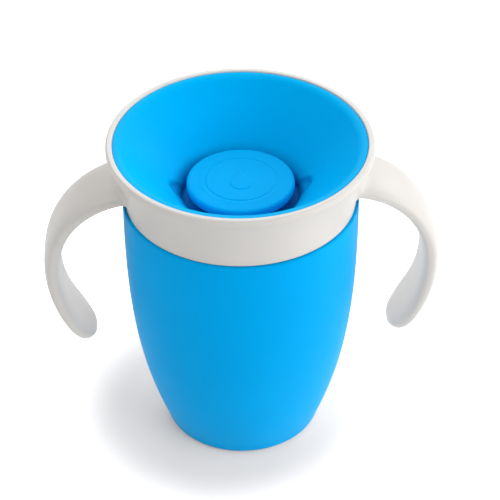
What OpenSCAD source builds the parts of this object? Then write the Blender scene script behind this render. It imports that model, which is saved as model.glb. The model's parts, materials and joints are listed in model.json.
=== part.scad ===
// Training cup with a drinking rim all the way round and two handles.
// Millimetres. +Z is up, the handles lie along X, and the origin is the centre of the foot.

/* [Cup] */
// Height of the shoulder that the collar closes down to
shoulder_z = 87.2; // [84:0.2:88.4]
// Outer radius at the shoulder
cup_top_r = 37.5; // [37.3:0.1:38.5]
// Outer radius at the foot, before its edge is rounded
cup_base_r = 24.9; // [22:0.1:28]
// How late the side turns in towards the foot
cup_curve = 2.87; // [2.2:0.01:3.4]
// Wall thickness of the cup
cup_wall = 1.8; // [1.4:0.1:2.2]
// Thickness of the floor
cup_floor = 2.2; // [1.8:0.1:3]
// Radius of the rounded edge of the foot
foot_round = 1.6; // [1:0.1:2]

/* [Neck and thread] */
// Height of the neck above the shoulder
neck_h = 7.2; // [7:0.1:7.4]
// Outer radius of the neck between the threads
neck_r = 34; // [33.9:0.05:34.1]
// Wall thickness of the neck
neck_wall = 1.7; // [1.6:0.05:1.8]
// Rise of one thread in a full turn
thread_lead = 7; // [6:0.5:7]
// Height of a thread above its wall
thread_h = 1; // [0.8:0.05:1.05]
// Air between the closed threads, along the axis
thread_play = 0.12; // [0.05:0.01:0.3]

/* [Collar] */
// Overall height of the cup, to the top of the drinking rim
overall_h = 108.3; // [107.8:0.1:108.6]
// Outer radius of the drinking rim
rim_r = 42.05; // [42:0.05:42.5]
// Thickness of the drinking rim
rim_wall = 2.05; // [1.9:0.05:2.1]
// Outer radius of the collar at its lower edge
collar_base_r = 36.6; // [36.5:0.1:37]
// Radius of the throat that the valve's lip closes
throat_r = 31; // [30.9:0.05:31.05]

/* [Handles] */
// Height of the handle's centre line where it leaves the collar
handle_z = 94.2; // [93:0.1:95]
// Angle below the horizontal where it leaves the collar
handle_dip = 10.5; // [8:0.5:14]
// Radius of the upper bend
bend_r = 29.5; // [27:0.5:32]
// Angle that the upper bend turns through
bend_angle = 72; // [66:1:76]
// Radius of the grip
grip_r = 40.5; // [37:0.5:44]
// Angle that the grip turns through
grip_angle = 53.4; // [46:0.2:56]
// Width of the handle at the collar
root_w = 24.6; // [22:0.2:26]
// Width of the handle at its narrowest
waist_w = 19; // [17:0.2:21]
// Width of the handle just above its tip
paddle_w = 21; // [19:0.2:23]
// Thickness of the handle
handle_t = 5.5; // [4.5:0.1:6]

/* [Bowl] */
// Outer radius of the bowl's top edge
bowl_r = 39.8; // [39.7:0.05:39.85]
// Width of the flat band round the top edge
bowl_band = 1.8; // [1.5:0.1:2]
// Radius of the trough at the foot of the sloping wall
trough_r = 19; // [18.6:0.1:19.4]
// Height of the top of the trough
trough_z = 89.2; // [89:0.1:89.4]
// Height of the trough's floor
trough_floor_z = 87; // [86.9:0.05:87.1]
// Wall thickness of the bowl
bowl_wall = 1.6; // [1.4:0.05:1.7]
// Radius of the hole for the valve's stem
hub_hole_r = 12.6; // [12:0.1:13]
// Number of fins that hold the bowl in the collar
fin_count = 6; // [4:1:8]

/* [Valve] */
// Radius of the button
button_r = 17.1; // [16.5:0.1:17.6]
// Height of the top of the button
button_z = 93.4; // [92.6:0.1:94]
// Thickness of the button's edge
button_t = 3.2; // [3:0.1:3.4]
// Thickness of the flexible skirt
skirt_t = 1.2; // [0.9:0.05:1.3]
// Air between the skirt and the bowl
skirt_gap = 0.3; // [0.2:0.05:0.35]

/* [Neck seal] */
// Thickness of the seal that the collar presses on the neck
seal_t = 1.5; // [1.4:0.05:1.5]

/* [Hidden] */
$fn = 96;
running_gap = 0.1;    // air between parts that slide or turn on each other
face_gap = 0.02;      // air between faces that rest on each other
thread_starts = 2;
thread_root_w = 1.7;
thread_crest_w = 0.7;
thread_bite = 0.2;    // how far a thread's root reaches into its wall
thread_turn = 0.64;   // share of a turn that each thread runs
thread_step = 8;      // degrees between a thread's sections
thread_fade = 16;     // degrees over which a thread's ends run out
neck_top_z = shoulder_z + neck_h;
thread_z = shoulder_z + 1.45;            // centre of a thread's lower end on the neck
bore_r = neck_r + thread_h + 0.3;        // inside of the collar's skirt
collar_z = shoulder_z + 0.15;            // lower edge of the collar
groove_z = neck_top_z + seal_t;          // roof of the groove that holds the seal
plug_r = neck_r - neck_wall - 0.2;       // outside of the plug that enters the neck
plug_z = collar_z + 3.65;                // lower edge of the plug
seat_z = neck_top_z - 1.4;               // below this the throat opens out
throat_top_z = groove_z + 1;             // inner edge of the sloping ledge
ledge_slope = 0.57;                      // rise of the ledge for each millimetre outwards
chamber_r = 37;                          // outer end of the ledge
band_top_z = overall_h - 3.5;            // where the tapered band meets the rim
band_top_r = rim_r - 0.85;
rim_round = rim_wall / 2;
handle_root_x = 36.6;                    // where the upper bend begins
handle_clear_r = collar_base_r - 0.4;    // the handle is cut off here, inside the collar's wall
bowl_top_z = overall_h - 0.4;
band_r = bowl_r - bowl_band;
band_drop = 0.3;                         // the sloping wall begins this far below the top edge
wall_rise = (bowl_top_z - band_drop - trough_z) / (band_r - trough_r);
wall_shift = bowl_wall * sqrt(1 + pow(wall_rise, -2));   // the sloping wall's thickness, measured level
stem_r = hub_hole_r - running_gap;

// Outer radius of the cup at height z.
function cup_outer(z) = cup_top_r - (cup_top_r - cup_base_r) * pow(1 - z / shoulder_z, cup_curve);
// Points of an arc about [cx, cy] from angle a to angle b.
function arc(cx, cy, r, a, b, n = 6) = [for (i = [0 : n]) let (t = a + (b - a) * i / n)
    [cx + r * cos(t), cy + r * sin(t)]];
// Radius of the outside of the bowl's sloping wall at height z, and the height at radius r.
function bowl_outer(z) = trough_r + (z - trough_z) / wall_rise + wall_shift;
function bowl_outer_z(r) = trough_z + (r - trough_r - wall_shift) * wall_rise;
// Height of the collar's ledge at radius r.
function ledge(r) = throat_top_z + (r - throat_r) * ledge_slope;
// Eased step from 0 to 1.
function ease(t) = let (c = min(1, max(0, t))) c * c * (3 - 2 * c);

// A solid skin over a list of rings, each with the same number of points.
module skin(rings) {
    n = len(rings[0]);
    m = len(rings);
    points = [for (ring = rings) each ring];
    sides = [for (i = [0 : m - 2], j = [0 : n - 1]) let (k = (j + 1) % n)
        each [[i * n + j, i * n + k, (i + 1) * n + k], [i * n + j, (i + 1) * n + k, (i + 1) * n + j]]];
    first = [for (j = [1 : n - 2]) [0, j + 1, j]];
    last = [for (j = [1 : n - 2]) [(m - 1) * n, (m - 1) * n + j, (m - 1) * n + j + 1]];
    polyhedron(points = points, faces = concat([for (f = sides) [f[0], f[2], f[1]]],
        [for (f = first) [f[0], f[2], f[1]]], [for (f = last) [f[0], f[2], f[1]]]));
}

// One thread section at angle a and height z: side is 1 on an outer wall and -1 on an inner one.
function thread_section(wall_r, side, a, z, share) =
    let (root = wall_r - side * thread_bite, crest = wall_r + side * thread_h * share,
         pts = [[root, z - thread_root_w / 2], [crest, z - thread_crest_w / 2],
                [crest, z + thread_crest_w / 2], [root, z + thread_root_w / 2]],
         order = side > 0 ? [3, 2, 1, 0] : [0, 1, 2, 3])
    [for (i = order) [pts[i][0] * cos(a), pts[i][0] * sin(a), pts[i][1]]];

// A right-hand thread that starts at height z0 and runs for the given share of a turn.
module thread(wall_r, side, z0, turn) {
    steps = ceil(turn * 360 / thread_step);
    for (start = [0 : thread_starts - 1]) {
        skin([for (i = [0 : steps]) let (a = i * turn * 360 / steps,
              share = max(0.05, ease(min(a, turn * 360 - a) / thread_fade)))
            thread_section(wall_r, side, a + start * 360 / thread_starts,
                           z0 + thread_lead * a / 360, share)]);
    }
}

// Cup: foot ring, curved side, shoulder and threaded neck, all one wall.
module cup() {
    foot_recess = 0.8;
    foot_ring_r = 18.5;
    side_steps = 22;
    throat_z = shoulder_z - 4.6;         // inside, where the wall starts to lean in to the neck
    inner_r = neck_r - neck_wall;
    foot_r = cup_outer(foot_round) - foot_round;
    floor_z = foot_recess + cup_floor;
    inner_round = 3;
    shoulder_round = 0.6;
    neck_edge = 0.5;
    side = [for (i = [0 : side_steps])
        let (z = foot_round + (shoulder_z - shoulder_round - foot_round) * i / side_steps)
        [cup_outer(z), z]];
    inside = [for (i = [side_steps : -1 : 0])
        let (z = floor_z + inner_round + (throat_z - floor_z - inner_round) * i / side_steps)
        [cup_outer(z) - cup_wall, z]];
    floor_edge_r = cup_outer(floor_z + inner_round) - cup_wall;
    color("deepskyblue") union() {
        rotate_extrude() polygon(concat(
            [[0, foot_recess], [foot_ring_r - foot_recess, foot_recess], [foot_ring_r, 0]],
            arc(foot_r, foot_round, foot_round, -90, -10, 5),
            side,
            arc(cup_top_r - shoulder_round, shoulder_z - shoulder_round, shoulder_round, 15, 90, 4),
            [[neck_r, shoulder_z], [neck_r, neck_top_z - neck_edge], [neck_r - neck_edge, neck_top_z],
             [inner_r + neck_edge, neck_top_z], [inner_r, neck_top_z - neck_edge],
             [inner_r, shoulder_z - 0.8]],
            inside,
            arc(floor_edge_r - inner_round, floor_z + inner_round, inner_round, -12, -90, 5),
            [[0, floor_z]]));
        thread(neck_r, 1, thread_z, thread_turn);
    }
}

// Flat silicone ring in the roof of the collar's groove.
module neck_seal() {
    inner_r = plug_r + running_gap;
    outer_r = bore_r - running_gap;
    edge = 0.3;
    low = neck_top_z + face_gap;
    high = groove_z - face_gap;
    color("whitesmoke") rotate_extrude() polygon([
        [inner_r + edge, low], [outer_r - edge, low], [outer_r, low + edge], [outer_r, high - edge],
        [outer_r - edge, high], [inner_r + edge, high], [inner_r, high - edge], [inner_r, low + edge]]);
}

// Position and heading of the handle's centre line, s millimetres from where the upper bend begins.
bend_len = bend_r * bend_angle * PI / 180;
handle_len = bend_len + grip_r * grip_angle * PI / 180;
function on_arc(p, heading, r, turn) = let (h = heading - turn)
    [p[0] + r * (sin(heading) - sin(h)), p[1] + r * (cos(h) - cos(heading)), h];
function handle_at(s) = let (start = [handle_root_x, handle_z],
                             grip = on_arc(start, -handle_dip, bend_r, bend_angle))
    s < 0 ? [start[0] + s * cos(handle_dip), start[1] - s * sin(handle_dip), -handle_dip]
    : s < bend_len ? on_arc(start, -handle_dip, bend_r, s / bend_r * 180 / PI)
    : on_arc(grip, grip[2], grip_r, (s - bend_len) / grip_r * 180 / PI);
// Width and thickness at s. Both run out to a round tip.
function tip_share(s, reach) = let (left = (handle_len - s) / reach) left >= 1 ? 1
    : sqrt(max(0.004, 1 - pow(1 - left, 2)));
function handle_w(s) = (s < 0.65 * handle_len
    ? root_w + (waist_w - root_w) * pow(ease((s + 14) / (0.65 * handle_len + 14)), 0.7)
    : waist_w + (paddle_w - waist_w) * ease((s / handle_len - 0.65) / 0.22))
    * tip_share(s, 0.52 * paddle_w);
function handle_thick(s) = handle_t * (1 - 0.2 * ease((s / handle_len - 0.6) / 0.4))
    * tip_share(s, handle_t / 2);
// One section: a box with rounded corners, between an oval and a rectangle.
section_points = 20;
squareness = 0.7;
function soft(v) = sign(v) * pow(abs(v), squareness);
function handle_section(s) = let (p = handle_at(s), w = handle_w(s) / 2, t = handle_thick(s) / 2)
    [for (i = [0 : section_points - 1]) let (a = i * 360 / section_points, n = t * soft(sin(a)))
        [p[0] - n * sin(p[2]), w * soft(cos(a)), p[1] + n * cos(p[2])]];

// One handle, pointing along +X, cut off inside the collar's wall.
module handle() {
    body_steps = 24;
    tip_steps = 7;
    tip_from = handle_len - 0.52 * paddle_w;
    first = -4;                          // inside the collar's wall
    cut_h = 60;
    stations = concat([for (i = [0 : body_steps - 1]) first + (tip_from - first) * i / body_steps],
        [for (i = [0 : tip_steps]) tip_from + (handle_len - tip_from) * sin(90 * i / tip_steps)]);
    difference() {
        skin([for (s = stations) handle_section(s)]);
        translate([0, 0, handle_z - cut_h / 2]) cylinder(r = handle_clear_r, h = cut_h);
    }
}

// Collar: drinking rim, tapered band, ledge, threaded skirt, plug and two handles, one moulding.
module collar() {
    band_steps = 12;
    band = [for (i = [0 : band_steps]) let (t = i / band_steps)
        [collar_base_r + (band_top_r - collar_base_r) * pow(t, 1.6),
         collar_z + 0.5 + (band_top_z - collar_z - 0.5) * t]];
    rim_c = [rim_r - rim_round, overall_h - rim_round];
    rim_inner_r = rim_r - rim_wall;
    late_start = 0.14;                   // share of a turn, so that the thread stays above the skirt's edge
    collar_thread_z = thread_z - (thread_root_w + thread_crest_w) / 2 - thread_play
        + thread_lead * late_start;
    color("ghostwhite") union() {
        rotate_extrude() polygon(concat(
            [[bore_r + 0.3, collar_z], [collar_base_r - 0.5, collar_z]],
            band,
            arc(band_top_r + 0.05, band_top_z + 1.1, 0.8, -20, 0, 2),
            arc(rim_c[0], rim_c[1], rim_round, 0, 180, 10),
            [[rim_inner_r, overall_h - 1.5],
             [chamber_r, ledge(chamber_r) + 0.4], [chamber_r - 0.5, ledge(chamber_r - 0.5)],
             [throat_r + 0.4, ledge(throat_r + 0.4)], [throat_r, throat_top_z - 0.4], [throat_r, seat_z],
             [throat_r + 0.3, plug_z], [plug_r - 0.3, plug_z], [plug_r, plug_z + 0.4], [plug_r, groove_z],
             [bore_r, groove_z], [bore_r, collar_z + 0.3]]));
        rotate([0, 0, 360 * late_start]) thread(bore_r, -1, collar_thread_z, thread_turn - late_start);
        handle();
        mirror([1, 0, 0]) handle();
    }
}

// Bowl: flat top band, sloping wall with two finger notches, trough with a hole for the valve, and fins
// underneath.
module bowl() {
    fin_t = 1.4;
    fin_foot_r = chamber_r - 0.5;
    fin_top_r = rim_r - rim_wall - 2.4;
    floor_z = trough_floor_z - bowl_wall;
    outer_trough_r = trough_r + bowl_wall;
    notch_r = 9;
    notch_depth = 1;
    notch_up = 1.8;                      // along the wall, from the trough's edge to the notch's centre
    slope = atan(wall_rise);
    notch_x = trough_r + notch_up * cos(slope) - (notch_r - notch_depth) * sin(slope);
    notch_z = trough_z + notch_up * sin(slope) + (notch_r - notch_depth) * cos(slope);
    brow_r = 5;                          // rounding from the sloping wall down into the trough
    brow_start = 0.9;                    // how far outside the trough the rounding begins
    brow_x = trough_r + brow_start + brow_r * sin(slope);
    brow_z = trough_z + brow_start * wall_rise - brow_r * cos(slope);
    trough_round = 1;
    edge = 0.4;
    color("deepskyblue") union() {
        difference() {
            rotate_extrude() polygon(concat(
                [[hub_hole_r, floor_z], [outer_trough_r - trough_round, floor_z]],
                arc(outer_trough_r - trough_round, floor_z + trough_round, trough_round, -70, 0, 4),
                [[outer_trough_r, bowl_outer_z(outer_trough_r)], [bowl_r, bowl_outer_z(bowl_r)]],
                arc(bowl_r - edge, bowl_top_z - edge, edge, 0, 90, 4),
                [[band_r + 0.5, bowl_top_z], [band_r, bowl_top_z - band_drop]],
                arc(brow_x, brow_z, brow_r, 90 + slope, 168, 6),
                [[brow_x - brow_r - 0.1, trough_floor_z], [hub_hole_r, trough_floor_z]]));
            for (side = [-1, 1]) translate([side * notch_x, 0, notch_z]) sphere(r = notch_r);
        }
        for (i = [0 : fin_count - 1]) {
            rotate([0, 0, (i + 0.5) * 360 / fin_count]) translate([0, fin_t / 2, 0]) rotate([90, 0, 0])
                linear_extrude(height = fin_t) polygon([
                    [throat_r + 1.4, ledge(throat_r + 1.4) + running_gap],
                    [fin_foot_r, ledge(fin_foot_r) + running_gap],
                    [fin_top_r, bowl_outer_z(fin_top_r) - 1.2],
                    [fin_top_r - 0.4, bowl_outer_z(fin_top_r) + 0.3],
                    [throat_r + 0.6, bowl_outer_z(throat_r + 0.6) + 0.7]]);
        }
    }
}

// Valve: button, hollow stem through the bowl, and a skirt with a thin lip that closes the throat.
module valve() {
    skirt_in = skirt_gap * sqrt(1 + pow(wall_rise, -2));
    skirt_out = (skirt_gap + skirt_t) * sqrt(1 + pow(wall_rise, -2));
    top_z = trough_floor_z - bowl_wall - skirt_gap;
    bottom_z = top_z - skirt_t;
    under_button_z = button_z - button_t;
    corner_r = trough_r + bowl_wall + skirt_gap;
    lip_z = seat_z + 0.5;
    lip_r = throat_r - running_gap;
    face_t = 2;
    stem_in_r = stem_r - 2;
    top_edge = 1.2;
    low_edge = 0.8;
    dome = 0.3;
    color("dodgerblue") rotate_extrude() polygon(concat(
        [[0, button_z - face_t], [stem_in_r - 1, button_z - face_t], [stem_in_r, button_z - face_t - 1],
         [stem_in_r, bottom_z], [corner_r - 0.4, bottom_z], [corner_r + skirt_t, bottom_z + 1.6],
         [corner_r + skirt_t, bowl_outer_z(corner_r + skirt_t - skirt_out)],
         [bowl_outer(lip_z - 1) + skirt_out, lip_z - 1],
         [lip_r - 0.1, lip_z - 0.5], [lip_r, lip_z - 0.3], [lip_r, lip_z], [lip_r - 0.3, lip_z + 0.2],
         [bowl_outer(lip_z - 0.3) + skirt_in, lip_z - 0.3],
         [corner_r, bowl_outer_z(corner_r - skirt_in)], [corner_r, top_z + 0.9], [corner_r - 0.9, top_z],
         [stem_r, top_z], [stem_r, under_button_z], [button_r - low_edge, under_button_z]],
        arc(button_r - low_edge, under_button_z + low_edge, low_edge, -70, 0, 3),
        arc(button_r - top_edge, button_z - top_edge, top_edge, 0, 78, 5),
        [for (share = [0.6, 0.3, 0]) [button_r * share, button_z + dome * (1 - pow(share, 2))]]));
}

cup();
neck_seal();
collar();
bowl();
valve();
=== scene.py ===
"""Training cup with an all-round drinking rim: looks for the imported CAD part."""

import json
import math

import bpy
from mathutils import Matrix, Vector


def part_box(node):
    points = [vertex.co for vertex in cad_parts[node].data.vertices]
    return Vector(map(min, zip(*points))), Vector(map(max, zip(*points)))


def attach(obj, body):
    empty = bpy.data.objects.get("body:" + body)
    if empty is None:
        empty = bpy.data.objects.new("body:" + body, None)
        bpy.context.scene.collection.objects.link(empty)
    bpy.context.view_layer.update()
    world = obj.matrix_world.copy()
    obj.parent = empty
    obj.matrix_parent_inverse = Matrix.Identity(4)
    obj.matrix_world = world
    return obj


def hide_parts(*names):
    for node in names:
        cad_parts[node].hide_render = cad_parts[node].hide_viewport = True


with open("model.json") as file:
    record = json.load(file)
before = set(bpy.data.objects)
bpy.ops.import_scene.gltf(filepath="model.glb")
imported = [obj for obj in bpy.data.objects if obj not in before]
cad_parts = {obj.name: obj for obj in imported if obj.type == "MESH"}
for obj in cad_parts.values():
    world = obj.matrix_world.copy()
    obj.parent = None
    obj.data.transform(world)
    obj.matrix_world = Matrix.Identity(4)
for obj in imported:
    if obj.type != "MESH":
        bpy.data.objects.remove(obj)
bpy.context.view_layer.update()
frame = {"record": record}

MM = 0.001
COLUMNS = 288            # points round every ring
RECORD_COLORS = {m["slot"]: m["base_color"] for m in frame["record"]["materials"]}


# ---------------------------------------------------------------- measures, in millimetres

def low(node):
    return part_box(node)[0] / MM


def high(node):
    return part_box(node)[1] / MM


RIM_R, RIM_TOP = high("collar").y, high("collar").z
CUP_R, NECK_TOP = high("cup").y, high("cup").z
BOWL_R, BOWL_TOP, BOWL_BOTTOM = high("bowl").y, high("bowl").z, low("bowl").z
BUTTON_TOP, VALVE_BOTTOM, LIP_R = high("valve").z, low("valve").z, high("valve").y
SEAL_R, SEAL_LOW, SEAL_TOP = high("neck_seal").y, low("neck_seal").z, high("neck_seal").z

NECK_H = 7.2
SHOULDER = NECK_TOP - NECK_H
COLLAR_LOW = SHOULDER + 0.15
NECK_R = 34.0
NECK_WALL = 1.7
CUP_WALL = 1.8
SKIRT_IN_R = SEAL_R + 0.1        # inside of the collar's skirt
PLUG_R = NECK_R - NECK_WALL - 0.2
PLUG_LOW = COLLAR_LOW + 3.65
THROAT_R = LIP_R + 0.1
THROAT_TOP = SEAL_TOP + 1.0
LEDGE_R = 37.0                   # outer end of the collar's inner ledge
LEDGE_SLOPE = 0.57
LEAD = 7.0                       # rise of a thread in one turn
THREAD_H = 1.0
THREAD_LOW = SHOULDER + 1.45     # centre of a thread's lower end
THREAD_TURN = 0.64               # share of a turn at which a thread ends
LATE_START = 0.14                # the collar's threads start this share of a turn later
THREAD_HALF_W, FLANK_W = 0.85, 0.5    # half width of a thread at its foot, and the width of its flank
RUN_OUT = 22                     # the higher, the more sudden a thread's ends
COLLAR_THREAD_DROP = 1.32        # the collar's threads run this far under the neck's
BUTTON_R = 17.1
HOLE_R = 12.6
TROUGH_R = 19.0
TROUGH_TOP = BOWL_BOTTOM + 3.8
TROUGH_FLOOR = BOWL_BOTTOM + 1.6
BAND_W = 1.9                     # flat band round the bowl's top edge


# ---------------------------------------------------------------- small helpers

def mix(a, b, t):
    return a + (b - a) * t


def ease(t):
    t = min(1.0, max(0.0, t))
    return t * t * (3 - 2 * t)


def sweep(start, end, count):
    """count + 1 numbers from start to end."""
    return [mix(start, end, i / count) for i in range(count + 1)]


ARC_STEP = 11.0                  # degrees between the points of a rounding
MOST_REACH = 0.49                # share of a straight that a rounding may take up


def rounded(corners, closed=False, step=2.5):
    """A profile with rounded corners. A corner is (radius from the axis, height, rounding)."""
    corners = [(c[0], c[1], c[2] if len(c) > 2 else 0.0) for c in corners]
    points, n = [], len(corners)
    for i, (x, z, r) in enumerate(corners):
        if r == 0 or (not closed and i in (0, n - 1)):
            points.append(Vector((x, z)))
            continue
        here = Vector((x, z))
        before = Vector(corners[i - 1][:2]) - here
        after = Vector(corners[(i + 1) % n][:2]) - here
        turn = before.angle(after)
        reach = min(r / math.tan(turn / 2), before.length * MOST_REACH, after.length * MOST_REACH)
        a, b = here + before.normalized() * reach, here + after.normalized() * reach
        r = reach * math.tan(turn / 2)
        inward = (before.normalized() + after.normalized()).normalized()
        centre = here + inward * (r / math.sin(turn / 2))
        pieces = max(3, round(math.degrees(math.pi - turn) / ARC_STEP))
        va, vb = a - centre, b - centre
        whole = va.angle_signed(vb)
        for k in range(pieces + 1):
            t = -whole * k / pieces
            c, s = math.cos(t), math.sin(t)
            points.append(centre + Vector((va.x * c - va.y * s, va.x * s + va.y * c)))
    out = []
    count = len(points) if closed else len(points) - 1
    for i in range(count):
        a, b = points[i], points[(i + 1) % len(points)]
        parts = max(1, math.ceil((b - a).length / step))
        out += [a.lerp(b, k / parts) for k in range(parts)]
    if not closed:
        out.append(points[-1])
    return [(p.x, p.y) for p in out]


def ring_point(r, z, turn):
    return Vector((r * math.cos(turn), r * math.sin(turn), z))


class Skin:
    """Collects the points and faces of one mesh."""

    def __init__(self):
        self.points, self.faces = [], []

    def add(self, points):
        first = len(self.points)
        self.points += points
        return list(range(first, len(self.points)))

    def join(self, a, b):
        """Quads between two closed loops with the same number of points."""
        n = len(a)
        self.faces += [(a[i], a[(i + 1) % n], b[(i + 1) % n], b[i]) for i in range(n)]

    def cap(self, ring, centre, out=True):
        middle = self.add([centre])[0]
        n = len(ring)
        for i in range(n):
            pair = (ring[i], ring[(i + 1) % n])
            self.faces.append((pair[0], pair[1], middle) if out else (pair[1], pair[0], middle))

    def piece(self, name, material, body, nodes):
        mesh = bpy.data.meshes.new(name)
        mesh.from_pydata([p * MM for p in self.points], [], self.faces)
        used = {i for f in self.faces for i in f}
        if len(used) < len(self.points):
            raise ValueError(f"{name} has loose points")
        mesh.validate()
        mesh.shade_smooth()
        obj = bpy.data.objects.new(name, mesh)
        bpy.context.scene.collection.objects.link(obj)
        mesh.materials.append(material)
        normals = obj.modifiers.new("weighted_normals", "WEIGHTED_NORMAL")
        normals.keep_sharp = True
        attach(obj, body)
        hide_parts(*nodes)
        return obj


def revolve(skin, profile, closed=False, shape=None):
    """Turns a profile about the axis. An open profile starts and ends on the axis."""
    shape = shape or (lambda r, z, turn: (r, z))
    rows = []
    inner = profile if closed else profile[1:-1]
    for r, z in inner:
        rows.append(skin.add([ring_point(*shape(r, z, t), t) for t in turns()]))
    for a, b in zip(rows, rows[1:] + rows[:1] if closed else rows[1:]):
        skin.join(a, b)
    if not closed:
        skin.cap(rows[0], Vector((0, 0, profile[0][1])), out=False)
        skin.cap(rows[-1], Vector((0, 0, profile[-1][1])))
    return rows


def turns():
    return [2 * math.pi * i / COLUMNS for i in range(COLUMNS)]


# ---------------------------------------------------------------- materials

BLUE_CORRECTION = (1.0, 1.0, 0.91)    # shares of the record's colour that the blue pieces keep
BLUE_GLINT = (0.0, 0.55, 1.0, 1.0)    # tint of the reflections in the blue pieces
BLUE_GLOSS, BLUE_SHEEN = 0.03, 0.1    # strengths of those reflections
BLUE_BOUNCE = (0.95, 0.97, 1.0)       # the cup's colour for bounced light only, so that it doesn't
                                      # tint the handles and the floor
PAINTED_SHADE_TINT = (1.0, 0.38, 0.6)           # shares of the bowl's colour that are left in its trough, as painted shade
FLOW_SCALE = 26.0                     # waves per metre of the flow marks in the colour,
PATCH_SCALE = 160.0                   # of the patches in the roughness,
GRAIN_SCALE = 5200.0                  # of the fine grain
RIPPLE_SCALE = 70.0                   # and of the ripple in the surface
FLOW_TONES = (0.965, 1.03)            # darkest and palest flow mark
WORN_FROM, WORN_FULL = 0.52, 0.62     # pointiness at which an edge starts to look worn, and is worn
WORN_TONE, WORN_SHARE = 1.25, 0.18    # how pale a worn edge is, and how much of that shows
PATCH_SPREAD, WORN_POLISH = 0.035, 0.08
GRAIN_DEPTH, RIPPLE_DEPTH = 0.00002, 0.0002
FLOOR_TONES = (0.655, 0.66, 0.672, 1), (0.67, 0.675, 0.686, 1)    # the floor as the camera sees it: darker than for other rays, as painted shade
FLOOR_BOUNCE = (0.8, 0.805, 0.815, 1)                             # and for every other ray
SHADE_CENTRE = (-0.006, 0, 0)         # middle of the part of the floor that the painted glow leaves out
SHADE_IN, SHADE_OUT = 0.034, 0.066    # distances at which the painted glow starts and is full
FLOOR_GLOW, UNSEEN_GLOW = 0.75, 0.15  # strength of the painted glow, and the share of it that rays off the camera see

class Nodes:
    """Short names for building the nodes of a material or a world."""

    def __init__(self, owner, shader="Principled BSDF"):
        owner.use_nodes = True
        self.owner, self.tree = owner, owner.node_tree
        self.shader = self.tree.nodes[shader]

    def node(self, kind, **values):
        made = self.tree.nodes.new(kind)
        for key, value in values.items():
            setattr(made, key, value)
        return made

    def link(self, a, b):
        self.tree.links.new(a, b)

    def set(self, node, **values):
        for key, value in values.items():
            node.inputs[key.replace("_", " ")].default_value = value

    def noise(self, scale, detail):
        """Noise on the piece's own coordinates; scale is in waves per metre."""
        place = self.node("ShaderNodeTexCoord")
        noise = self.node("ShaderNodeTexNoise")
        self.set(noise, Scale=scale, Detail=detail)
        self.link(place.outputs["Object"], noise.inputs["Vector"])
        return noise.outputs["Fac"]

    def remap(self, value, from_low, from_high, to_low, to_high):
        node = self.node("ShaderNodeMapRange")
        for i, v in enumerate((from_low, from_high, to_low, to_high)):
            node.inputs[i + 1].default_value = v
        self.link(value, node.inputs[0])
        return node.outputs[0]

    def blend(self, share, a, b):
        """Colour a where share is 0 and b where it's 1."""
        node = self.node("ShaderNodeMix", data_type="RGBA")
        self.link(share, node.inputs[0])
        for slot, value in ((6, a), (7, b)):
            if isinstance(value, tuple):
                node.inputs[slot].default_value = value
            else:
                self.link(value, node.inputs[slot])
        return node.outputs[2]

    def maths(self, kind, a, b):
        node = self.node("ShaderNodeMath", operation=kind)
        for i, value in enumerate((a, b)):
            if isinstance(value, (int, float)):
                node.inputs[i].default_value = value
            else:
                self.link(value, node.inputs[i])
        return node.outputs[0]

    def height(self, vector):
        parts = self.node("ShaderNodeSeparateXYZ")
        self.link(vector, parts.inputs[0])
        return parts.outputs["Z"]

    def out_of_painted_shade(self, low_z, high_z):
        """Share of its own colour that painted shade leaves: 0 at low_z, low in a gap that opens
        upwards, and 1 above high_z and on faces turned down.
        """
        z = self.height(self.node("ShaderNodeTexCoord").outputs["Object"])
        facing = self.height(self.node("ShaderNodeNewGeometry").outputs["Normal"])
        return self.maths("MAXIMUM", self.remap(z, low_z * MM, high_z * MM, 0.0, 1.0),
                          self.remap(facing, 0.0, -0.2, 0.0, 1.0))

    def edges(self, start, end):
        """1 on convex edges and 0 elsewhere."""
        place = self.node("ShaderNodeNewGeometry")
        return self.remap(place.outputs["Pointiness"], start, end, 0.0, 1.0)

    def bump(self, height, distance, strength, normal=None):
        node = self.node("ShaderNodeBump")
        node.inputs["Distance"].default_value = distance
        node.inputs["Strength"].default_value = strength
        self.link(height, node.inputs["Height"])
        if normal is not None:
            self.link(normal, node.inputs["Normal"])
        return node.outputs["Normal"]


def shade(color, factor):
    """The colour made darker or paler, as a material's colour."""
    return tuple(min(1.0, c * factor) for c in color[:3]) + (1.0,)


def tinted(color, tint):
    """The colour with each channel cut to its share."""
    return tuple(c * t for c, t in zip(color, tint)) + (1.0,)


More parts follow.
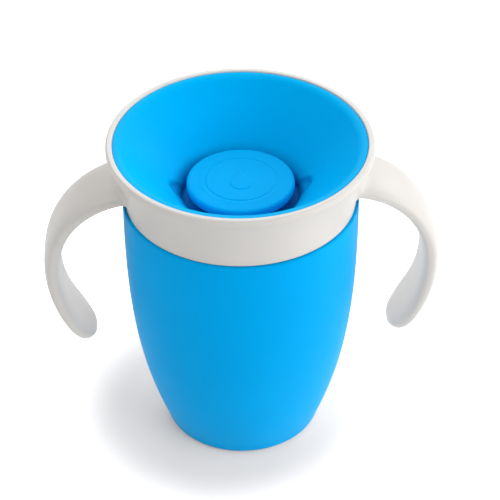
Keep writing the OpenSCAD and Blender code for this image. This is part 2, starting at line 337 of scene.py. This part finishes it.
def moulded(name, color, roughness, grain, inside, gloss=0.5, sheen=0.0, glint=(1, 1, 1, 1),
            bounce=None, deep=None):
    """Moulded plastic or silicone: faint flow marks, fine grain, polished wear on the edges.

    gloss and sheen are the strengths of the reflections, and glint is their colour. bounce is the
    colour that the piece throws on its neighbours. The last argument is the range of heights, in
    millimetres, over which painted shade darkens the colour towards the bottom of a gap.
    """
    n = Nodes(bpy.data.materials.new(name))
    flow = n.remap(n.noise(FLOW_SCALE, 3.0), 0.3, 0.7, 0.0, 1.0)
    tone = n.blend(flow, *(shade(color, factor) for factor in FLOW_TONES))
    worn = n.edges(WORN_FROM, WORN_FULL)
    tone = n.blend(n.maths("MULTIPLY", worn, WORN_SHARE), tone, shade(color, WORN_TONE))
    # painted shade: the colour darkens towards the bottom of a gap
    if deep:
        tone = n.blend(n.out_of_painted_shade(*deep), tinted(color, PAINTED_SHADE_TINT), tone)
    if bounce:
        path = n.node("ShaderNodeLightPath")
        tone = n.blend(path.outputs["Is Diffuse Ray"], tone, shade(bounce, 1.0))
    n.link(tone, n.shader.inputs["Base Color"])
    patches = n.remap(n.noise(PATCH_SCALE, 4.0), 0.3, 0.7,
                      roughness - PATCH_SPREAD, roughness + PATCH_SPREAD)
    polished = n.maths("SUBTRACT", patches, n.maths("MULTIPLY", worn, WORN_POLISH))
    n.link(polished, n.shader.inputs["Roughness"])
    fine = n.bump(n.noise(GRAIN_SCALE, 2.0), GRAIN_DEPTH, grain)
    ripple = n.bump(n.noise(RIPPLE_SCALE, 1.0), RIPPLE_DEPTH, 0.10, fine)
    n.link(ripple, n.shader.inputs["Normal"])
    n.set(n.shader, Subsurface_Weight=inside, Subsurface_Radius=(1.0, 1.0, 1.0), Subsurface_Scale=0.0015,
          Sheen_Weight=sheen, Sheen_Tint=glint, Specular_IOR_Level=gloss, Specular_Tint=glint, IOR=1.49)
    return n.owner


def blue(name, slot, roughness, grain, inside, **extra):
    """Moulded material of a blue piece, in the record's colour with the correction."""
    return moulded(name, tinted(RECORD_COLORS[slot], BLUE_CORRECTION), roughness, grain, inside,
                   gloss=BLUE_GLOSS, sheen=BLUE_SHEEN, glint=BLUE_GLINT, **extra)


def floor_material():
    """White floor, shaded near the cup and lifted to plain white for the camera further away.

    The shade near the cup is partly rendered shadow and partly painted shade, since the camera sees
    a darker tone than other rays do. The lift is a painted glow: the camera sees all of it, and
    other rays a share.
    """
    n = Nodes(bpy.data.materials.new("floor_white"))
    # painted shade: the camera sees a darker floor than other rays do
    seen = n.node("ShaderNodeLightPath").outputs["Is Camera Ray"]
    shown = n.blend(n.remap(n.noise(14.0, 2.0), 0.3, 0.7, 0.0, 1.0), *FLOOR_TONES)
    n.link(n.blend(seen, FLOOR_BOUNCE, shown), n.shader.inputs["Base Color"])
    n.set(n.shader, Roughness=0.75, Specular_IOR_Level=0.25, Emission_Color=(1, 1, 1, 1))
    place = n.node("ShaderNodeTexCoord")
    shifted = n.node("ShaderNodeVectorMath", operation="SUBTRACT")
    shifted.inputs[1].default_value = SHADE_CENTRE
    away = n.node("ShaderNodeVectorMath", operation="LENGTH")
    n.link(place.outputs["Object"], shifted.inputs[0])
    n.link(shifted.outputs[0], away.inputs[0])
    # painted glow: the floor gives off light away from the cup
    glow = n.remap(away.outputs["Value"], SHADE_IN, SHADE_OUT, 0.0, FLOOR_GLOW)
    glow.node.interpolation_type = "SMOOTHSTEP"
    share = n.remap(seen, 0.0, 1.0, UNSEEN_GLOW, 1.0)
    n.link(n.maths("MULTIPLY", glow, share), n.shader.inputs["Emission Strength"])
    return n.owner


# ---------------------------------------------------------------- threads

def thread_at(turn, z, first_z, start_turn, end_turn):
    """Height of a two-start thread at this place: 0 between the threads and 1 on a crest."""
    best = 0.0
    for start in (0.0, 0.5):
        t = (turn / (2 * math.pi) - start) % 1.0
        if start_turn <= t <= end_turn:
            away = abs(z - first_z - LEAD * t)
            fade = ease(min(t - start_turn, end_turn - t) * RUN_OUT)
            best = max(best, fade * ease((THREAD_HALF_W - away) / FLANK_W))
    return best


# ---------------------------------------------------------------- cup

def cup_side(z):
    """Outer radius of the cup. It narrows slowly at first and faster towards the foot."""
    base_r, power = 24.9, 2.87
    return CUP_R - (CUP_R - base_r) * max(0.0, 1 - z / SHOULDER) ** power


def make_cup(material):
    foot_round, foot_ring_r, recess, floor_z = 1.8, 18.5, 0.8, 3.0
    lean_z = SHOULDER - 4.6
    neck_in = NECK_R - NECK_WALL
    under = rounded([(0, recess + 0.35), (0.8, recess + 0.3, 0.3), (1.3, recess, 0.3),
                     (foot_ring_r - 0.9, recess, 0.4), (foot_ring_r, 0, 0.35),
                     (cup_side(0) + 0.35, 0, foot_round),
                     (cup_side(3.4), 3.4)], step=1.5)
    side = [(cup_side(z), z) for z in sweep(3.8, SHOULDER - 1.0, 70)]
    shoulder = rounded([(CUP_R, SHOULDER - 0.9), (CUP_R, SHOULDER, 0.55), (NECK_R, SHOULDER, 0.3),
                        (NECK_R, SHOULDER + 0.5)])
    neck = [(NECK_R, z) for z in sweep(SHOULDER + 0.6, NECK_TOP - 0.55, 44)]
    mouth = rounded([(NECK_R, NECK_TOP - 0.5), (NECK_R, NECK_TOP, 0.4), (neck_in, NECK_TOP, 0.4),
                     (neck_in, SHOULDER - 0.8, 1.5), (cup_side(lean_z) - CUP_WALL, lean_z, 2.0),
                     (cup_side(lean_z - 3) - CUP_WALL, lean_z - 3)], step=1.5)
    inside = [(cup_side(z) - CUP_WALL, z) for z in sweep(lean_z - 3.5, 7.2, 50)]
    floor = rounded([(cup_side(7.0) - CUP_WALL, 7.0), (cup_side(floor_z) - CUP_WALL - 0.2, floor_z, 3.2),
                     (0, floor_z)], step=1.5)

    def threaded(r, z, turn):
        if abs(r - NECK_R) < 1e-6 and SHOULDER + 0.55 < z < NECK_TOP - 0.5:
            r += THREAD_H * thread_at(turn, z, THREAD_LOW, 0.0, THREAD_TURN)
        return r, z

    skin = Skin()
    revolve(skin, under + side + shoulder + neck + mouth + inside + floor, shape=threaded)
    return skin.piece("cup_shell", material, "cup", ["cup"])


# ---------------------------------------------------------------- seal

def make_seal(material):
    inner = PLUG_R + 0.1
    skin = Skin()
    revolve(skin, rounded([(inner, SEAL_LOW, 0.35), (SEAL_R, SEAL_LOW, 0.35), (SEAL_R, SEAL_TOP, 0.35),
                           (inner, SEAL_TOP, 0.35)], closed=True, step=0.8), closed=True)
    return skin.piece("seal_ring", material, "seal", ["neck_seal"])


# ---------------------------------------------------------------- collar and handles

BAND_LOW, BAND_TOP = COLLAR_LOW + 0.55, RIM_TOP - 3.5
COLLAR_R = 36.6                  # outside of the collar at its lower edge
BAND_TOP_R = RIM_R - 0.85
ROOT_COLUMNS = 21                # half the columns that a handle's root covers
ROOT_ROWS = 22
BAND_ROWS = 28


def band_r(z):
    """Outer radius of the collar's tapered band."""
    t = min(1.0, max(0.0, (z - BAND_LOW) / (BAND_TOP - BAND_LOW)))
    return mix(COLLAR_R, BAND_TOP_R, t ** 1.6)


class HandleLine:
    """Centre line of a handle in the X-Z plane: an upper bend that opens out into a longer grip."""
    start, dip = (36.6, 94.2), 10.5
    upper_r, upper_turn, grip_r, grip_turn = 29.5, 72.0, 40.5, 53.4
    upper = upper_r * math.radians(upper_turn)
    length = upper + grip_r * math.radians(grip_turn)

    def __init__(self):
        self.step = 0.2
        ahead = self.trace(self.step, self.length + 1)
        behind = self.trace(-self.step, 8)
        self.places = behind[:0:-1] + ahead
        self.zero = len(behind) - 1

    def trace(self, step, reach):
        x, z = self.start
        heading = -math.radians(self.dip)
        places, s = [(x, z, heading)], 0.0
        while abs(s) < reach:
            mid = s + step / 2
            if mid > 0:
                heading -= step * mix(1 / self.upper_r, 1 / self.grip_r, ease((mid - self.upper + 9) / 18))
            x, z, s = x + step * math.cos(heading), z + step * math.sin(heading), s + step
            places.append((x, z, heading))
        return places

    def at(self, s):
        place = s / self.step + self.zero
        i = min(len(self.places) - 2, max(0, int(place)))
        return [mix(a, b, place - i) for a, b in zip(self.places[i], self.places[i + 1])]


LINE = HandleLine()
ROOT_W, WAIST_W, PADDLE_W, HANDLE_T = 24.6, 19.0, 21.0, 5.5
TIP_REACH = 0.52 * PADDLE_W      # length over which the paddle rounds off to its tip
SQUARENESS = 2.8                 # 2 is an oval, more is squarer


def section_size(u, v):
    """How far out a direction reaches. It's 1 on the squarish outline of the section."""
    return (abs(u) ** SQUARENESS + abs(v) ** SQUARENESS) ** (1 / SQUARENESS)


def tip_share(s, reach):
    """Share of the full size that's left at s, near the handle's rounded end."""
    left = (LINE.length - s) / reach
    return 1.0 if left >= 1 else math.sqrt(max(0.0, 1 - (1 - left) ** 2))


def handle_size(s):
    """Half width and half thickness of the handle at s."""
    narrow = 0.65 * LINE.length
    if s < narrow:
        w = mix(ROOT_W, WAIST_W, ease((s + 14) / (narrow + 14)) ** 0.7)
    else:
        w = mix(WAIST_W, PADDLE_W, ease((s - narrow) / (0.22 * LINE.length)))
    t = HANDLE_T * (1 - 0.2 * ease((s / LINE.length - 0.6) / 0.4))
    return w / 2 * tip_share(s, TIP_REACH), t / 2 * tip_share(s, HANDLE_T / 2)


def handle_point(s, u, v):
    """Point of the handle's skin at s. u and v give the direction across and through the section."""
    size = section_size(u, v)
    x, z, heading = LINE.at(s)
    w, t = handle_size(s)
    out = t * v / size
    return Vector((x - out * math.sin(heading), w * u / size, z + out * math.cos(heading)))


def on_band(across, z):
    """Point of the collar's band, at this distance round it from the X axis."""
    r = band_r(z)
    return ring_point(r, z, across / r)


def meeting_s(u, v):
    """Where the handle's skin meets the band, along one of its lines."""
    near, far = -5.0, 6.0
    for _ in range(30):
        s = (near + far) / 2
        p = handle_point(s, u, v)
        near, far = (s, far) if math.hypot(p.x, p.y) < band_r(p.z) else (near, s)
    return near


def make_handle(skin, boundary, directions, side):
    """One handle, grown out of the hole that boundary leaves in the band.

    side is 1 on +X and -1 on -X.
    """
    flip = Matrix.Rotation(0 if side > 0 else math.pi, 3, "Z")
    feet, meets, leaves, roots = [], [], [], []
    for u, v in directions:
        s = meeting_s(u, v)
        meet = handle_point(s, u, v)
        size = section_size(u, v)
        pull = Vector((abs(u / size) ** (SQUARENESS - 1) * math.copysign(1, u) / ROOT_W,
                       abs(v / size) ** (SQUARENESS - 1) * math.copysign(1, v) / HANDLE_T)).normalized()
        fillet = 2.2 + 0.8 * max(0.0, pull.y)
        across = math.atan2(meet.y, meet.x) * band_r(meet.z)
        feet.append(on_band(across + fillet * pull.x, meet.z + fillet * pull.y))
        meets.append(meet)
        roots.append(s + fillet)
        leaves.append(handle_point(s + fillet, u, v))
    rings = []
    edge = [flip.inverted() @ skin.points[i] for i in boundary]
    for t in (0.35, 0.7):
        ring = []
        for a, b in zip(edge, feet):
            p = a.lerp(b, t)
            ring.append(on_band(math.atan2(p.y, p.x) * band_r(p.z), p.z))
        rings.append(ring)
    for t in sweep(0, 1, 9):
        rings.append([a.lerp(m, t).lerp(m.lerp(b, t), t) for a, m, b in zip(feet, meets, leaves)])
    straight = 9.0
    for t in sweep(0, 1, 7)[1:]:
        rings.append([handle_point(mix(s, straight, t), u, v) for s, (u, v) in zip(roots, directions)])
    tip_from = LINE.length - TIP_REACH
    stations = sweep(straight, tip_from, 46)[1:]
    stations += [mix(tip_from, LINE.length - 0.01, math.sin(math.pi / 2 * t)) for t in sweep(0, 1, 22)[1:]]
    rings += [[handle_point(s, u, v) for u, v in directions] for s in stations]
    last = boundary
    for ring in rings:
        new = skin.add([flip @ p for p in ring])
        skin.join(last, new)
        last = new
    x, z, _ = LINE.at(LINE.length)
    skin.cap(last, flip @ Vector((x, 0, z)))


def make_collar(material):
    rim_in = RIM_R - 2.1
    thread_low = THREAD_LOW - COLLAR_THREAD_DROP
    band = [(band_r(z), z) for z in sweep(BAND_LOW, BAND_TOP, BAND_ROWS)]
    rim = rounded([(BAND_TOP_R + 0.15, BAND_TOP + 0.35), (RIM_R, BAND_TOP + 1.35, 1.2),
                   (RIM_R, RIM_TOP, 0.8), (rim_in, RIM_TOP, 0.45), (rim_in, RIM_TOP - 1.6, 1.0),
                   (LEDGE_R, THROAT_TOP + (LEDGE_R - THROAT_R) * LEDGE_SLOPE + 0.4, 0.6),
                   (THROAT_R, THROAT_TOP, 0.4), (THROAT_R, NECK_TOP - 1.4), (THROAT_R + 0.3, PLUG_LOW, 0.25),
                   (PLUG_R, PLUG_LOW, 0.4), (PLUG_R, SEAL_TOP + 0.02, 0.15),
                   (SKIRT_IN_R, SEAL_TOP + 0.02, 0.15), (SKIRT_IN_R, SEAL_TOP - 0.5)], step=1.2)
    skirt = [(SKIRT_IN_R, z) for z in sweep(SEAL_TOP - 0.7, COLLAR_LOW + 0.5, 44)]
    foot = rounded([(SKIRT_IN_R, COLLAR_LOW + 0.4), (SKIRT_IN_R, COLLAR_LOW, 0.3),
                    (COLLAR_R, COLLAR_LOW, 0.45), (COLLAR_R, BAND_LOW - 0.05)], step=0.6)
    profile = foot + band + rim + skirt
    band_row = len(foot)

    def threaded(r, z, turn):
        if abs(r - SKIRT_IN_R) < 1e-6 and COLLAR_LOW + 0.45 < z < SEAL_TOP - 0.6:
            r -= THREAD_H * thread_at(turn, z, thread_low, LATE_START, THREAD_TURN)
        return r, z

    skin = Skin()
    rows = [skin.add([ring_point(*threaded(r, z, t), t) for t in turns()]) for r, z in profile]
    first_row, last_row = band_row, band_row + ROOT_ROWS
    for i, (a, b) in enumerate(zip(rows, rows[1:] + rows[:1])):
        for c in range(COLUMNS):
            away = (c + COLUMNS // 4) % (COLUMNS // 2) - COLUMNS // 4
            if first_row <= i < last_row and -ROOT_COLUMNS <= away < ROOT_COLUMNS:
                continue
            d = (c + 1) % COLUMNS
            skin.faces.append((a[c], a[d], b[d], b[c]))
    across, up = range(-ROOT_COLUMNS, ROOT_COLUMNS), range(ROOT_ROWS)
    loop = ([(c, 0) for c in across] + [(ROOT_COLUMNS, r) for r in up] +
            [(-c, ROOT_ROWS) for c in across] + [(-ROOT_COLUMNS, ROOT_ROWS - r) for r in up])
    directions = [(c / ROOT_COLUMNS, 2 * r / ROOT_ROWS - 1) for c, r in loop]
    for side in (1, -1):
        middle = 0 if side > 0 else COLUMNS // 2
        boundary = [rows[first_row + r][(middle + c) % COLUMNS] for c, r in loop]
        make_handle(skin, boundary, directions, side)
    drop_loose(skin)
    return skin.piece("collar_and_handles", material, "collar", ["collar"])


def drop_loose(skin):
    """Leaves out the points that no face uses."""
    used = sorted({i for f in skin.faces for i in f})
    place = {old: new for new, old in enumerate(used)}
    skin.points = [skin.points[i] for i in used]
    skin.faces = [tuple(place[i] for i in f) for f in skin.faces]


# ---------------------------------------------------------------- bowl

def bowl_lines():
    """Rise of the bowl's sloping wall, and its thickness measured level."""
    rise = (BOWL_TOP - 0.3 - TROUGH_TOP) / (BOWL_R - BAND_W - TROUGH_R)
    return rise, 1.6 * math.sqrt(1 + rise ** -2)


def make_bowl(material):
    rise, shift = bowl_lines()

    def outer_z(r):
        return TROUGH_TOP + (r - TROUGH_R - shift) * rise

    outer_trough = TROUGH_R + 1.6
    edge_r, lip_flat, lip_r = BOWL_R + 0.1, 0.6, 4.2
    flat, slope = math.radians(4), math.atan(rise)
    lip = [(edge_r - lip_flat - lip_r * (math.sin(t) - math.sin(flat)),
            BOWL_TOP - lip_r * (math.cos(flat) - math.cos(t))) for t in sweep(flat, slope, 8)]
    cone_z = lip[-1][1] - lip[-1][0] * rise
    shoulder_r, turn_r = TROUGH_R + 0.9, 5.0
    shoulder = [(shoulder_r - turn_r * (math.sin(t) - math.sin(slope)),
                 cone_z + shoulder_r * rise - turn_r * (math.cos(slope) - math.cos(t)))
                for t in sweep(slope, math.radians(80), 8)]
    profile = rounded([(HOLE_R, BOWL_BOTTOM, 0.3), (outer_trough, BOWL_BOTTOM, 1.2),
                       (outer_trough, outer_z(outer_trough), 0.8), (edge_r, outer_z(edge_r), 0.15),
                       (edge_r, BOWL_TOP, 0.25)] + lip +
                      shoulder + [(TROUGH_R - 0.65, TROUGH_FLOOR, 0.5), (HOLE_R, TROUGH_FLOOR, 0.3)],
                      closed=True, step=0.8)

    def dented(r, z, turn):
        """Two finger notches in the wall, open towards the trough."""
        if z > TROUGH_FLOOR + 0.5 and r < BOWL_R - 4 and z > outer_z(r) + 1:
            along = (r - TROUGH_R + 1) / math.cos(slope)
            away = math.hypot(along / 6.8, r * math.sin(turn) / 4.6)
            depth = 1.2 * ease((1 - away) / 0.3) * mix(0.3, 1.0, ease(along / 5.5))
            r, z = r + depth * math.sin(slope), z - depth * math.cos(slope)
        return r, z

    skin = Skin()
    revolve(skin, profile, closed=True, shape=dented)
    fins = 6
    for i in range(fins):
        add_fin(skin, 2 * math.pi * (i + 0.5) / fins, outer_z)
    return skin.piece("drinking_bowl", material, "bowl", ["bowl"])


def add_fin(skin, turn, outer_z):
    """A tapered fin under the bowl, with softened edges. Its top is sunk in the bowl's wall."""
    def ledge(r):
        return THROAT_TOP + (r - THROAT_R) * LEDGE_SLOPE + 0.1

    root, inner, foot, top = THROAT_R + 0.6, THROAT_R + 1.4, LEDGE_R - 0.5, RIM_R - 4.25
    outline = rounded([(inner, ledge(inner), 0.5), (foot, ledge(foot), 0.5), (top, outer_z(top) - 1.2, 0.8),
                       (top - 0.4, outer_z(top) + 0.3), (root, outer_z(root) + 0.7)], closed=True, step=3)
    middle = Vector((sum(p[0] for p in outline) / len(outline), sum(p[1] for p in outline) / len(outline)))
    rings = []
    softened = ((0.5, 1.0), (0.64, 0.988), (0.7, 0.96))      # half width, and the outline's size there
    for side, shrink in [(-w, size) for w, size in reversed(softened)] + list(softened):
        ring = []
        for x, z in outline:
            p = middle.lerp(Vector((x, z)), shrink)
            ring.append(Matrix.Rotation(turn, 3, "Z") @ Vector((p.x, side, p.y)))
        rings.append(skin.add(ring))
    for a, b in zip(rings, rings[1:]):
        skin.join(b, a)
    skin.faces += [tuple(rings[0]), tuple(reversed(rings[-1]))]


# ---------------------------------------------------------------- valve

def drop_mark(x, y):
    """Signed distance to a plain water drop: negative inside."""
    big, small, tall = 3.3, 0.35, 6.0
    x, y = abs(x), y + 2.1
    b = (big - small) / tall
    a = math.sqrt(1 - b * b)
    k = -b * x + a * y
    if k < 0:
        return math.hypot(x, y) - big
    if k > a * tall:
        return math.hypot(x, y - tall) - small
    return a * x + b * y - big


GROOVE_R, GROOVE_W, GROOVE_DEPTH = 11.4, 0.55, 0.2
DROP_H = 0.22


def button_relief(r, turn):
    """Raised water drop inside a fine groove."""
    groove = ease(1 - abs(r - GROOVE_R) / GROOVE_W)
    drop = ease(0.5 - drop_mark(r * math.cos(turn), r * math.sin(turn)) / 0.5)
    return DROP_H * drop * ease((11 - r) / 0.5) - GROOVE_DEPTH * groove


def make_valve(material):
    rise, shift = bowl_lines()
    stem_r = HOLE_R - 0.1
    stretch = math.sqrt(1 + rise ** -2)
    gap, skirt_t = 0.3, 1.2

    def wall_r(z, off):
        return TROUGH_R + (z - TROUGH_TOP) / rise + shift + off * stretch

    def wall_z(r, off):
        return TROUGH_TOP + (r - TROUGH_R - shift - off * stretch) * rise

    corner = TROUGH_R + 1.6 + gap
    top = BOWL_BOTTOM - gap
    lip_z = NECK_TOP - 0.9
    under_button = BUTTON_TOP - 3.5
    crown = 0.3
    hidden = rounded([(0, BUTTON_TOP - 2.3), (stem_r - 2, BUTTON_TOP - 2.3, 1.0),
                      (stem_r - 2, VALVE_BOTTOM, 0.4), (corner - 0.4 + skirt_t / 2, VALVE_BOTTOM, 1.4),
                      (corner + skirt_t, VALVE_BOTTOM + 1.6, 0.6),
                      (corner + skirt_t, wall_z(corner + skirt_t, gap + skirt_t), 0.8),
                      (wall_r(lip_z - 1, gap + skirt_t), lip_z - 1, 1.2), (LIP_R, lip_z - 0.45, 0.12),
                      (LIP_R, lip_z + 0.1, 0.12), (wall_r(lip_z - 0.3, gap), lip_z - 0.3, 0.8),
                      (corner, wall_z(corner, gap), 0.5), (corner, top, 0.9),
                      (stem_r, top, 0.4), (stem_r, under_button, 0.5), (BUTTON_R, under_button, 1.1),
                      (BUTTON_R, BUTTON_TOP - crown, 1.0),
                      (BUTTON_R - 4, BUTTON_TOP - crown + 0.1)], step=1.0)
    face = [(r, BUTTON_TOP - crown * (0.86 * (r / BUTTON_R) ** 2)) for r in sweep(BUTTON_R - 4.4, 0.2, 64)]

    def marked(r, z, turn):
        if z > BUTTON_TOP - crown - 0.02 and r < BUTTON_R - 4.2:
            z += button_relief(r, turn)
        return r, z

    skin = Skin()
    centre_z = BUTTON_TOP + DROP_H * ease(0.5 - drop_mark(0, 0) / 0.5)
    revolve(skin, hidden + face + [(0, centre_z)], shape=marked)
    return skin.piece("silicone_valve", material, "valve", ["valve"])


# ---------------------------------------------------------------- studio

FLOOR_GAP = 0.05                 # the floor lies just under the foot ring, so that they don't coincide


def make_floor():
    skin = Skin()
    half, cells = 3000.0, 12
    spots = sweep(-half, half, cells)
    for y in spots:
        skin.add([Vector((x, y, -FLOOR_GAP)) for x in spots])
    row = cells + 1
    skin.faces = [(j * row + i, j * row + i + 1, (j + 1) * row + i + 1, (j + 1) * row + i)
                  for j in range(cells) for i in range(cells)]
    mesh = bpy.data.meshes.new("studio_floor")
    mesh.from_pydata([p * MM for p in skin.points], [], skin.faces)
    mesh.materials.append(floor_material())
    floor = bpy.data.objects.new("studio_floor", mesh)
    bpy.context.scene.collection.objects.link(floor)


def soft_light(name, place, aim, size, power):
    data = bpy.data.lights.new(name, "AREA")
    data.shape, data.size, data.size_y = "RECTANGLE", size[0], size[1]
    data.energy = power
    light = bpy.data.objects.new(name, data)
    light.location = place
    light.rotation_euler = (Vector(aim) - Vector(place)).to_track_quat("-Z", "Y").to_euler()
    bpy.context.scene.collection.objects.link(light)


SKY_STRENGTH = 0.574
LIGHT_AIM = (0, 0, 0.06)
LIGHTS = [                       # name, place, size and power
    ("left_top", (-0.5, 0.0, 0.9), (0.6, 0.6), 2.2),
    ("right_low", (1.0, -0.05, 0.3), (0.6, 0.5), 3.2),
    ("right_front", (0.7, -0.6, 0.5), (0.6, 0.6), 4.5),
    ("right_back", (0.7, 0.6, 0.6), (0.6, 0.6), 2.8),
    ("back", (0.0, 0.95, 0.7), (0.9, 0.6), 5.2),
]


def make_sky():
    world = bpy.data.worlds.new("studio")
    n = Nodes(world, "Background")
    n.set(n.shader, Color=(1, 1, 1, 1), Strength=SKY_STRENGTH)
    bpy.context.scene.world = world


def make_lights():
    for name, place, size, power in LIGHTS:
        soft_light(name, place, LIGHT_AIM, size, power)


def make_camera():
    """Camera in front of and above the cup, a little off its axis."""
    turn, rise = math.radians(-2.15), math.radians(38.39)
    distance, target = 0.7, Vector((0, 0, 0.055))
    aim_right, aim_down, roll = (math.radians(a) for a in (-0.231, 0.671, -0.573))
    place = target + distance * Vector((0, -math.cos(rise), math.sin(rise)))
    ahead, right = Vector((0, math.cos(rise), -math.sin(rise))), Vector((1, 0, 0))
    above = right.cross(ahead)
    ahead, right = (ahead * math.cos(aim_right) - right * math.sin(aim_right),
                    right * math.cos(aim_right) + ahead * math.sin(aim_right))
    ahead = ahead * math.cos(aim_down) + above * math.sin(aim_down)
    above = right.cross(ahead)
    right, above = (right * math.cos(roll) + above * math.sin(roll),
                    above * math.cos(roll) - right * math.sin(roll))
    axes = Matrix((right, above, -ahead)).transposed().to_4x4()
    data = bpy.data.cameras.new("camera")
    data.lens, data.sensor_width, data.clip_start = 154.56, 36.0, 0.01
    camera = bpy.data.objects.new("camera", data)
    camera.matrix_world = Matrix.Rotation(turn, 4, "Z") @ Matrix.Translation(place) @ axes
    bpy.context.scene.collection.objects.link(camera)
    bpy.context.scene.camera = camera


def main():
    blue_cup = blue("cup_blue_plastic", "cup_blue", 0.42, 0.25, 0.12, bounce=BLUE_BOUNCE)
    white = moulded("collar_white_plastic", RECORD_COLORS["collar_white"], 0.4, 0.25, 0.1)
    # the bowl's colour carries painted shade low in its trough
    blue_bowl = blue("bowl_blue_plastic", "bowl_blue", 0.4, 0.25, 0.12,
                     deep=(TROUGH_FLOOR, TROUGH_TOP + 3.5))
    silicone = blue("valve_silicone", "valve_blue", 0.55, 0.4, 0.2)
    clear = moulded("seal_silicone", RECORD_COLORS["seal_clear"], 0.5, 0.4, 0.3, sheen=0.1)
    make_cup(blue_cup)
    make_seal(clear)
    make_collar(white)
    make_bowl(blue_bowl)
    make_valve(silicone)
    make_floor()
    make_sky()
    make_lights()
    make_camera()
    bpy.context.scene.view_settings.view_transform = "Standard"


main()
